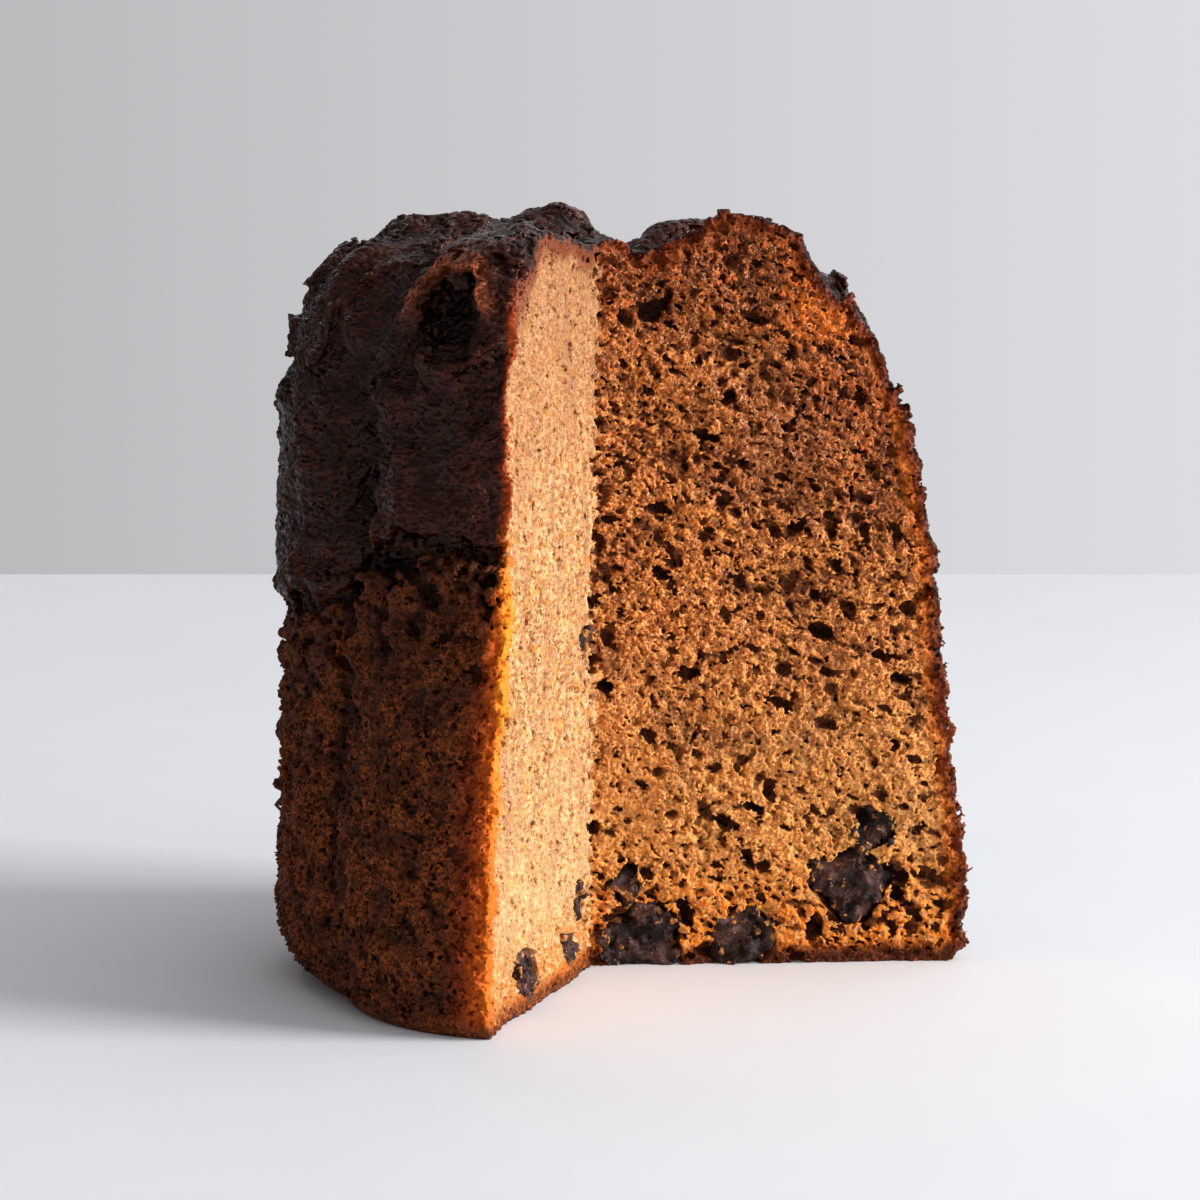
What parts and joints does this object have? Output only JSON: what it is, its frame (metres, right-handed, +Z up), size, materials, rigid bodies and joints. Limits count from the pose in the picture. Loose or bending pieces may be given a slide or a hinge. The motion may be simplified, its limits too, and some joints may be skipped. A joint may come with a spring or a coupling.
{
  "type": "cut chocolate cake",
  "caption": "Tall round individual chocolate cake with fluted sides, one wedge cut out, and broken chocolate set in the crumb near its base.",
  "frame": {"origin": "middle of the base, on the axis of the six-lobed tin the cake was baked in", "axes": "+Z up; the missing wedge opens towards -Y, one cut face looks along -Y and the other looks mainly along +X"},
  "size_m": [0.088, 0.0842, 0.096],
  "materials": {
    "cake": null,
    "chocolate": null
  },
  "bodies": {
    "root": {"cake": "cake", "chocolate_chip_1": "chocolate", "chocolate_chip_2": "chocolate", "chocolate_chip_3": "chocolate", "chocolate_chip_4": "chocolate", "chocolate_chip_5": "chocolate", "chocolate_chip_6": "chocolate", "chocolate_chip_7": "chocolate", "chocolate_chip_8": "chocolate", "chocolate_chip_9": "chocolate"}
  },
  "joints": []
}
